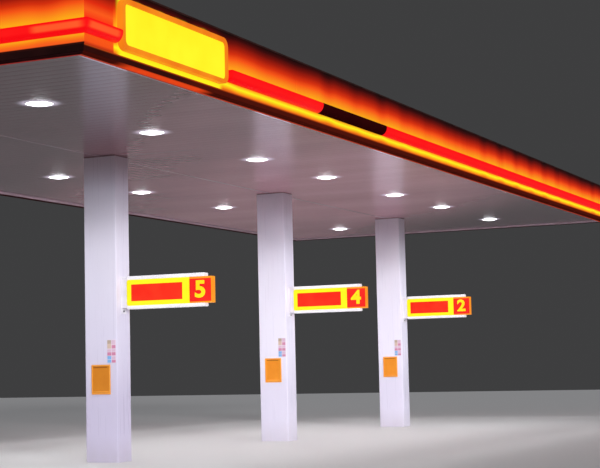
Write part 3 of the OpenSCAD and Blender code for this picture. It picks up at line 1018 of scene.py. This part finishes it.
# %% Casing finish
foot_dust_z, head_shade_z = (0.5, 0.0), (4.40, 5.03)
first_column_shade_z, low_shade_z = (3.4, 1.6), (1.9, 0.8)


def on_first_column(finish):
    """1 at the first column, 0 at the other two; it masks painted shade there."""
    return finish.x.soft(-bay / 2 + 0.1, -bay / 2 - 0.1)


def make_casing_paint():
    """White paint, streaked by cleaning, with dust at the foot, and with painted shade lower down, at the
    head and over the first column.
    """
    paint = Finish("casing_paint", {"Specular IOR Level": 0.5})
    cloud = paint.noise(1.1, 3.0, (1.0, 1.0, 0.3))
    dust = paint.noise(7.0, 5.0, (1.0, 1.0, 0.35))
    wiped = paint.noise(38.0, 3.0, (1.0, 1.0, 0.02))
    foot = paint.z.soft(*foot_dust_z) * (0.35 + dust * 0.6)
    unshaded = paint.tones(cloud * 0.88 + wiped * 0.12, "#e7e4f7", "#f0edfc")
    first = on_first_column(paint)
    # Painted shade: the first column is darker all over and more so lower down, and every column darkens
    # lower down.
    lower_shade = first * (0.22 + paint.z.soft(*first_column_shade_z) * 0.30) + paint.z.soft(*low_shade_z) * 0.33
    dust_and_shade = paint.mix(foot * 0.4, paint.mix(lower_shade, unshaded, tint("#bdb5d0")), tint("#a79c9c"))
    # Painted shade at the head, under the soffit, stronger on the first column.
    dust_and_shade = paint.mix(paint.z.soft(*head_shade_z) * (0.35 + first * 0.35), dust_and_shade, tint("#957c80"))
    paint.set("Base Color", paint.mix(dust.soft(0.6, 0.85) * 0.1, dust_and_shade, tint("#b9b2bd")))
    paint.set("Roughness", 0.2 + wiped * 0.2 + foot * 0.2)
    paint.set("Coat Weight", 0.2 - foot * 0.15)
    paint.bump(paint.noise(2.2, 1.0, (1.0, 1.0, 0.4)), 0.002, 0.3)
    return paint


casing_paint = make_casing_paint()
print("casing paint ready")

# %% Column casings
casing_t, casing_r = 0.006, 0.022


def upright_ring(bm, x, width, depth, radius, z):
    """The edges of a level rectangle with round corners, about x on the row of columns."""
    ring = [bm.verts.new((x + px, py, z)) for px, py in round_outline(width, depth, radius)]
    return [bm.edges.new(pair) for pair in zip(ring, ring[1:] + ring[:1])]


for i, x in enumerate(column_x, 1):
    low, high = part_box(f"column_casing_{i}")
    size = high - low
    bm = bmesh.new()
    loops = upright_ring(bm, x, size.x, size.y, casing_r, low.z)
    loops += upright_ring(bm, x, size.x - 2 * casing_t, size.y - 2 * casing_t, casing_r - casing_t, low.z)
    bridged = bmesh.ops.bridge_loops(bm, edges=loops)
    grown = bmesh.ops.extrude_face_region(bm, geom=bridged["faces"])
    bmesh.ops.translate(bm, vec=(0, 0, size.z), verts=new_parts(grown, bmesh.types.BMVert))
    piece(bm, f"casing_{i}", [casing_paint], [f"column_casing_{i}"])

# %% [markdown]
# ## Number signs
# Beside each column a lit sign reaches out over the drive. A yellow body hangs
# between two white rails, with a red inset on each face. Its outer end is an
# amber box, and on both faces of it a red plate carries a plain yellow numeral.
# Body, rails and plates are bevelled blocks. The numerals are text curves with
# some offset to make them bold, turned to meshes before they are placed.

# %% Sign finishes
def make_rail_white():
    rail = Finish("rail_white", {"Specular IOR Level": 0.4})
    dust = rail.noise(9.0, 3.0, (1.0, 0.3, 1.0))
    # Painted light: the white rails take half their colour as emission, though they hold no lamp.
    rail.glow(rail.tones(dust, "#efecf6", "#fbf9fd"), 0.5, 0.55)
    rail.set("Roughness", 0.25 + dust * 0.15)
    return rail


sign_tones = {"sign_yellow": ("#fff01c", "#fffb2c"), "sign_red": ("#f4241a", "#ff3a22"),
              "number_red": ("#f02222", "#fb3226"), "number_yellow": ("#ffdc1c", "#ffee28"),
              "end_amber": ("#ff9222", "#ffa62c")}
acrylic = {"Roughness": 0.3, "Specular IOR Level": 0.12}
sign_finish = {name: glowing(name, acrylic, (2.2, 2.0), tones, 0.2, 0.84)
               for name, tones in sign_tones.items()}
rail_white = make_rail_white()
print("sign finishes:", list(sign_finish))

# %% Numerals
numeral_h, cap_share = 0.27, 0.73
numeral_bold, numeral_wide = 0.013, 1.12
skin = 0.004


def add_numeral(bm, text, place, finish):
    """A bold numeral, standing about the origin before the matrix places it."""
    curve = bpy.data.curves.new("numeral", "FONT")
    curve.body = text
    curve.size = numeral_h / cap_share
    curve.offset = numeral_bold
    curve.extrude = skin / 2
    curve.resolution_u = 6
    curve.align_x, curve.align_y = "CENTER", "CENTER"
    holder = add_object("numeral", curve)
    mesh = evaluated_mesh(holder)
    mesh.transform(place @ Matrix.Diagonal((numeral_wide, 1.0, 1.0, 1.0)))
    mesh.polygons.foreach_set("material_index", [finish] * len(mesh.polygons))
    bm.from_mesh(mesh)
    bpy.data.objects.remove(holder)


print("numerals are text curves, made meshes")

# %% Sign sizes
rail_low_h, rail_top_h, rail_r = 0.055, 0.060, 0.016
sign_t, body_end_r, box_r, face_edge = 0.130, 0.04, 0.006, 0.0015
inset_proud, inset_seat = 0.004, 0.002
inset_y, inset_z = (1.045, 0.085), (0.128, 0.402)
plate_y_in, plate_z_in = (0.004, 0.002), (0.024, 0.392)
tolerance = 1e-4
numbers = {-1: ("5", "4", "2"), 1: ("6", "3", "1")}
print("numbers on the near and the far faces:", numbers[-1], numbers[1])

# %% Sign bodies
def sign_body(i):
    """The lit body with its red insets, between the rails."""
    low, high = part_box(f"number_sign_{i}")
    face_low, face_high = low.z + rail_low_h, high.z - rail_top_h
    body_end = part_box(f"number_box_{i}")[1].y
    x = column_x[i - 1]
    bm = bmesh.new()
    block(bm, (x - sign_t / 2, body_end, face_low), (x + sign_t / 2, high.y, face_high))
    column_end = [e for e in bm.edges if all(abs(v.co.y - high.y) < tolerance for v in e.verts)
                  and abs(e.verts[0].co.z - e.verts[1].co.z) < tolerance]
    round_edges(bm, column_end, body_end_r, 6)
    for s in (-1, 1):
        left, right_end = sorted((x + s * (sign_t / 2 - inset_seat), x + s * (sign_t / 2 + inset_proud)))
        block(bm, (left, high.y - inset_y[0], low.z + inset_z[0]),
              (right_end, high.y - inset_y[1], low.z + inset_z[1]), face_edge, 2, 1)
    for z0, z1 in ((low.z, face_low), (face_high, high.z)):
        block(bm, (low.x, low.y, z0), (high.x, high.y, z1), rail_r, 5, 2)
    piece(bm, f"sign_{i}", [sign_finish["sign_yellow"], sign_finish["sign_red"], rail_white],
          [f"number_sign_{i}"], wide_crease)

# %% Number boxes
def sign_box(i):
    """The amber box with a red plate and a numeral on each face."""
    low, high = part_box(f"number_box_{i}")
    mid = (low + high) / 2
    plate_low, plate_high = low.z + plate_z_in[0], low.z + plate_z_in[1]
    bm = bmesh.new()
    block(bm, (low.x + 2 * skin, low.y, low.z), (high.x - 2 * skin, high.y, high.z), box_r, 2, 2)
    quarter = Matrix.Rotation(math.radians(90), 4, "X")
    for s, texts in numbers.items():
        face_x = mid.x + s * (high.x - mid.x - skin)
        left, right_end = sorted((face_x, face_x - s * 2 * skin))
        block(bm, (left, low.y + plate_y_in[0], plate_low),
              (right_end, high.y - plate_y_in[1], plate_high), face_edge, 2, 0)
        place = Matrix.Translation((face_x + s * skin / 2, mid.y, (plate_low + plate_high) / 2))
        turn = Matrix.Rotation(math.radians(90 * s), 4, "Z")
        add_numeral(bm, texts[i - 1], place @ turn @ quarter, 1)
    finishes = [sign_finish[name] for name in ("number_red", "number_yellow", "end_amber")]
    piece(bm, f"number_{i}", finishes, [f"number_box_{i}"], wide_crease)


for i in (1, 2, 3):
    sign_body(i)
    sign_box(i)

# %% [markdown]
# ## Brackets
# A flat plate on the column and a short neck carry each sign. Both are painted
# white like the column, so the solids stay and only take the paint. The plate's
# tail shows under the sign with a hexagon bolt and its washer. A bolt head is a
# cylinder of six sides with its outer edge bevelled.

# %% Bracket finishes
bracket_paint = cloudy("bracket_paint", {"Specular IOR Level": 0.4}, (6.0, 4.0),
                       ("#dcd8e4", "#ebe8f2"), (0.3, 0.16))
bolt_steel = cloudy("bolt_steel", {"Specular IOR Level": 0.5, "Metallic": 0.7}, (120.0, 2.0),
                    ("#4b4b52", "#6c6c74"), (0.35, 0.2))
dress("sign_brackets", bracket_paint)
print("bracket dressed")

# %% Bolts on the plates
casing_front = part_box("column_casing_2")[0].y
plate_t = 0.008
bolt_r, bolt_h, washer_r, washer_h, bolt_edge = 0.012, 0.009, 0.017, 0.003, 0.0012
bolt_drop, bolt_top_drop = 0.030, 0.035


def add_bolt(bm, place, aim):
    """A hexagon bolt with a washer, its head along aim from place."""
    turn = Matrix.Translation(place) @ Vector(aim).to_track_quat("Z", "Y").to_matrix().to_4x4()
    for radius, start, height, sides in ((washer_r, 0.0, washer_h, 24), (bolt_r, washer_h, bolt_h, 6)):
        verts = cylinder(bm, radius, height, sides, turn @ Matrix.Translation((0, 0, start + height / 2)))
        outer = [v for v in verts if (turn.inverted() @ v.co).z > start + height / 2]
        round_edges(bm, edges_of(outer), bolt_edge, 1)


for name, finish in (("lower", bolt_steel), ("upper", bracket_paint)):
    bolts = bmesh.new()
    for i, x in enumerate(column_x, 1):
        low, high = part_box(f"number_sign_{i}")
        z = low.z - bolt_drop if name == "lower" else high.z - bolt_top_drop
        add_bolt(bolts, (x, casing_front - plate_t, z), (0, -1, 0))
    piece(bolts, f"plate_bolts_{name}", [finish])

# %% [markdown]
# ## Poster frames
# At eye height each wide face of a column has an amber plastic frame, and the
# sheet in it is bare. The frame is a block. Insets of its front face make a
# sloped outer edge, the flat border and a step down to the sheet, and then the
# corners are rounded with a bevel. A dark strip under the upper border is a
# painted shadow of the border, and a lip along the bottom holds the sheet. On
# the first column frame and sheet are darker, a painted shade.

# %% Poster finishes
def make_plastic(name, tones, rough, first_shade=0.0):
    """Cloudy plastic; the last argument is how much darker it is on the first column, a painted shade."""
    plastic = Finish(name, {"Specular IOR Level": 0.45})
    cloud = plastic.noise(6.0, 3.0)
    unshaded = 1 - on_first_column(plastic) * first_shade
    plastic.set("Base Color", plastic.dimmed(plastic.tones(cloud, *tones), unshaded))
    plastic.set("Roughness", rough + cloud * 0.15)
    return plastic


# On the first column the frame and sheet are darker: painted shade.
frame_amber = make_plastic("frame_amber", ("#f2a03c", "#faac48"), 0.3, 0.12)
sheet_amber = make_plastic("sheet_amber", ("#e48a22", "#ec9428"), 0.4, 0.25)
shadow_strip_brown = make_plastic("shadow_strip_brown", ("#8a4a12", "#9c5718"), 0.5)
print("poster finishes ready")

# %% Poster sizes
poster_w, poster_h, poster_t, poster_r = 0.360, 0.485, 0.018, 0.014
poster_low = 1.185
border, sheet_drop, sheet_step = 0.022, 0.009, 0.003
slopes, slope_h, corner_zone = ((0.002, 0.0035), (0.004, 0.0025)), 0.006, 0.008
frame_in, seat = 0.009, 0.002
shadow_strip_in, shadow_strip_proud, shadow_strip_z = (0.004, 0.030), 0.001, (0.020, 0.006)
lip_h, lip_proud, lip_r = 0.020, 0.006, 0.003
level = [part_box(f"number_sign_{i}")[0].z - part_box("number_sign_2")[0].z for i in (1, 2, 3)]
casing_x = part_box("column_casing_2")[1].x
print("levels of the posters:", [round(lift, 3) for lift in level])

# %% Poster frames
def add_on_columns(bm, build, y, z):
    """Copies of a form on both wide faces of each column, at that column's level."""
    for x, lift in zip(column_x, level):
        for s in (-1, 1):
            turn = Matrix.Rotation(math.radians(90 * s), 4, "Z")
            add_copy(bm, build, Matrix.Translation((x + s * casing_x, s * y, z + lift)) @ turn)


def poster_frame(bm):
    """One frame that lies on the plane y = 0 and faces -Y, about the origin."""
    half_x, half_z = poster_w / 2, poster_h / 2
    block(bm, (-half_x, -poster_t + slope_h, -half_z), (half_x, 0.0, half_z))
    front_face = min(bm.faces, key=lambda face: face.calc_center_median().y)
    rim_faces = bm.faces[:]
    for thickness, depth in slopes:
        rim_faces += inset(bm, front_face, thickness, depth)
    corners = [e for e in {e for face in rim_faces for e in face.edges}
               if all(abs(v.co.x) > half_x - corner_zone and abs(v.co.z) > half_z - corner_zone
                      for v in e.verts)]
    for thickness, depth in ((border, 0.0), (sheet_step, -sheet_drop)):
        inset(bm, front_face, thickness, depth)
    front_face.material_index = 1
    round_edges(bm, corners, poster_r, 5)
    inner_w, inner_h = half_x - border - frame_in, half_z - border - frame_in
    sheet_y = -poster_t + sheet_drop
    # A thin dark strip under the upper border: a painted shadow of the border.
    block(bm, (-inner_w + shadow_strip_in[0], sheet_y - shadow_strip_proud, inner_h - shadow_strip_z[0]),
          (inner_w - shadow_strip_in[1], sheet_y + seat, inner_h - shadow_strip_z[1]), 0.0, 2, 2)
    block(bm, (-inner_w, sheet_y - lip_proud, -inner_h), (inner_w, sheet_y + seat, -inner_h + lip_h), lip_r)


frames = bmesh.new()
add_on_columns(frames, poster_frame, 0.0, poster_low + poster_h / 2)
piece(frames, "posters", [frame_amber, sheet_amber, shadow_strip_brown], ["poster_frames"],
      wide_crease)

# %% [markdown]
# ## Information plates
# Above each frame, to one side, is a thin plate with two columns of small
# fields. Here they are plain patches of colour. The plate is a bevelled block,
# and each patch is a thinner one that lies on it.

# %% Plate finishes
plate_white = make_plastic("plate_white", ("#dccfe0", "#e6dcea"), 0.3)
patch_tones = {"cream": ("#cdb5a6", "#d6bfb0"), "olive": ("#b3a091", "#bda998"),
               "pink": ("#d3b4ca", "#dbc0d4"), "rose": ("#cb7fa2", "#d48eae"),
               "blue": ("#76abe0", "#8ab9ea")}
patch_finish = {name: make_plastic(f"patch_{name}", tones, 0.3) for name, tones in patch_tones.items()}
print("plate finishes:", list(patch_finish))

# %% Information plates
info_w, info_h, info_t, info_edge = 0.165, 0.380, 0.006, 0.0015
info_y, info_gap = 0.205, 0.026
info_z = poster_low + poster_h + info_gap + info_h / 2
patch_proud, patch_inner, patch_outer = 0.001, 0.005, 0.004
patch_rows = {-1: (("olive", 0.02, 0.17), ("cream", 0.17, 0.38), ("pink", 0.41, 0.52),
                   ("rose", 0.54, 0.68), ("blue", 0.70, 0.84), ("blue", 0.86, 0.985)),
              1: (("pink", 0.02, 0.21), ("rose", 0.23, 0.38), ("pink", 0.41, 0.52),
                  ("rose", 0.54, 0.68), ("pink", 0.72, 0.85), ("rose", 0.87, 0.985))}


def info_plate(bm):
    """One plate that lies on the plane y = 0 and faces -Y, about the origin."""
    face_y = -info_t + patch_proud
    block(bm, (-info_w / 2, face_y, -info_h / 2), (info_w / 2, 0.0, info_h / 2), info_edge, 1)
    for column, rows in patch_rows.items():
        left, right_end = sorted((column * patch_inner, column * (info_w / 2 - patch_outer)))
        for colour, top, bottom in rows:
            block(bm, (left, -info_t, info_h * (0.5 - bottom)),
                  (right_end, face_y + patch_proud, info_h * (0.5 - top)),
                  0.0, 1, 1 + list(patch_finish).index(colour))


plates = bmesh.new()
add_on_columns(plates, info_plate, info_y, info_z)
piece(plates, "plates", [plate_white, *patch_finish.values()], ["info_plates"], wide_crease)

# %% [markdown]
# ## Roof
# From above one sees what keeps the rain out: ribbed sheet in two halves, a
# gutter between them and the backs of the fascias. The solids have these
# shapes already and take a weathered metal. What is too small for them is added
# as real pieces: a flashing all round, where the sheet meets the fascias, rows
# of screws through the ribs, and a domed strainer in the gutter at each column.

# %% Roof metal
def make_roof_metal(name, dark, light):
    metal = Finish(name, {"Specular IOR Level": 0.5})
    stain = metal.noise(0.8, 5.0, (1.0, 0.25, 1.0))
    grain = metal.noise(26.0, 3.0, (0.4, 1.0, 1.0))
    metal.set("Base Color", metal.tones(stain * 0.75 + grain * 0.25, dark, light))
    metal.set("Metallic", 0.35 + stain * 0.2)
    metal.set("Roughness", 0.42 + grain * 0.2)
    return metal


sheet_metal = make_roof_metal("roof_sheet_metal", "#8d9093", "#b1b4b6")
gutter_metal = make_roof_metal("gutter_sheet_metal", "#6f7275", "#94979a")
dress("roof_sheet", sheet_metal)
dress("roof_gutter", gutter_metal)
print("roof dressed")

# %% Flashing
fascia_in = 0.090
rib_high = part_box("roof_sheet")[1].z
flash_t, flash_foot, flash_rise, flash_clear = 0.002, 0.14, 0.11, 0.001
flash_from, flash_wall = fascia_in - flash_foot, fascia_in - flash_clear
flash_low, flash_high = rib_high + flash_clear, rib_high + flash_rise
flash_section = [(flash_from, flash_low), (flash_wall, flash_low), (flash_wall, flash_high),
                 (flash_wall - flash_t, flash_high), (flash_wall - flash_t, flash_low + flash_t),
                 (flash_from, flash_low + flash_t)]
run_all_round("flashing", flash_section, gutter_metal)

# %% Screws on the ribs
rib_pitch = 0.475
sheet_low, sheet_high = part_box("roof_sheet")
rib_count = math.floor((sheet_high.x - sheet_low.x) / rib_pitch)
screw_rows = [s * y for s in (-1, 1) for y in (0.30, 2.30, 4.05)]
screw_washer, screw_head = (0.011, 0.0, 0.002), (0.006, 0.002, 0.006)
screws = bmesh.new()
for k in range(rib_count):
    x = mid_x + (k - (rib_count - 1) / 2) * rib_pitch
    for y in screw_rows:
        for radius, foot, height in (screw_washer, screw_head):
            cylinder(screws, radius, height, 6, Matrix.Translation((x, y, rib_high + foot + height / 2)))
piece(screws, "roof_screws", [bolt_steel])

# %% Gutter strainers
gutter_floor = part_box("roof_gutter")[0].z + 0.006
strainer_r, strainer_h, brim_w, brim_t, brim_lip = 0.075, 0.06, 0.02, 0.005, 0.004


def strainer(bm):
    """A dome on a flat brim, about the Z axis."""
    brim = [(strainer_r + brim_w, 0.0), (strainer_r + brim_w, brim_lip)]
    spin_profile(bm, brim + arc(0.0, brim_t, strainer_r, strainer_h, 0, 6), 24)


strainers = bmesh.new()
for x in column_x:
    add_copy(strainers, strainer, Matrix.Translation((x, 0.0, gutter_floor)))
piece(strainers, "gutter_strainers", [bolt_steel])

# %% [markdown]
# ## Posts and frame
# The posts stand inside the casings and the frame lies inside the roof. They
# hardly show, but someone who opens the model finds them, so they get a grey
# paint with some wear.

# %% Post paint
post_paint = cloudy("post_paint", {"Specular IOR Level": 0.4}, (4.0, 4.0),
                    ("#5c6166", "#70757a"), (0.4, 0.2))
for node in ("post_1", "post_2", "post_3", "roof_frame"):
    dress(node, post_paint)
print("posts and frame dressed")

# %% [markdown]
# ## Stage and light
# The canopy stands on a plain pale floor in soft studio light. The world gives
# an even light from all round, but the backdrop that is seen, and mirrored in
# the soffit, is darker than that light. One very soft sun comes in low from the
# camera's side, because the roof would keep a high one off the columns. Under
# each drop lens hangs a soft disc lamp that shines down, as the real light
# does: it leaves the heads of the columns in a soft shade and sends some light
# back up from the floor to the soffit. A wide flat lamp hangs over the roof and
# shines straight down, so that the roof sheet shows its own colour too.

# %% Floor and world
floor_half = 48.0
backdrop_level, light_level = 0.05, 0.32
floor_paint = Finish("floor_pale", {"Roughness": 0.7, "Specular IOR Level": 0.2})
floor_paint.set("Base Color", (0.60, 0.60, 0.61, 1.0))
bm = bmesh.new()
bmesh.ops.create_grid(bm, x_segments=1, y_segments=1, size=floor_half)
floor = add_object("floor", finished_mesh(bm, "floor"))
floor.data.materials.append(floor_paint.material)

world = bpy.data.worlds.new("studio")
world.use_nodes = True
scene.world = world
sky = Tree(world.node_tree)
path = sky.node("ShaderNodeLightPath").socket.node.outputs
seen = Wire(sky, path["Is Camera Ray"])
for name in ("Is Glossy Ray", "Is Transmission Ray"):
    seen = seen.most(Wire(sky, path[name]))
shine = sky.node("ShaderNodeBackground", None, {
    "Color": (0.97, 0.975, 1.0, 1.0), "Strength": light_level + seen * (backdrop_level - light_level)})
sky.node("ShaderNodeOutputWorld", None, {"Surface": shine})

# %% Lamps
sun_power, softbox_power, disc_power = 2.15, 640.0, 43.0
softbox_lift, softbox_over, disc_drop = 4.0, 0.2, 0.02


def add_lamp(name, kind, place, aim, energy):
    """A lamp that points along aim and doesn't show itself."""
    lamp = bpy.data.lights.new(name, kind)
    lamp.energy = energy
    holder = add_object(name, lamp)
    turn = Vector(aim).to_track_quat("-Z", "Y").to_matrix().to_4x4()
    holder.matrix_world = Matrix.Translation(place) @ turn
    holder.visible_camera = holder.visible_glossy = False
    print(f"{name}: {energy}")
    return lamp


sun = add_lamp("low_sun", "SUN", (-20.0, -30.0, 10.0), (0.66, 0.74, -0.15), sun_power)
sun.angle = math.radians(12)
softbox = add_lamp("roof_softbox", "AREA", (mid_x, 0, rib_high + softbox_lift), (0, 0, -1), softbox_power)
softbox.shape, softbox.spread = "RECTANGLE", math.radians(30)
softbox.size, softbox.size_y = 2 * (half_l + softbox_over), 2 * (half_w + softbox_over)
for row, y in light_rows.items():
    for number, x in enumerate(light_x, 1):
        place = (x, y, lens_low - disc_drop)
        disc = add_lamp(f"disc_{row}_{number}", "AREA", place, (0, 0, -1), disc_power)
        disc.shape, disc.size, disc.spread = "DISK", 2 * lens_r, math.radians(140)
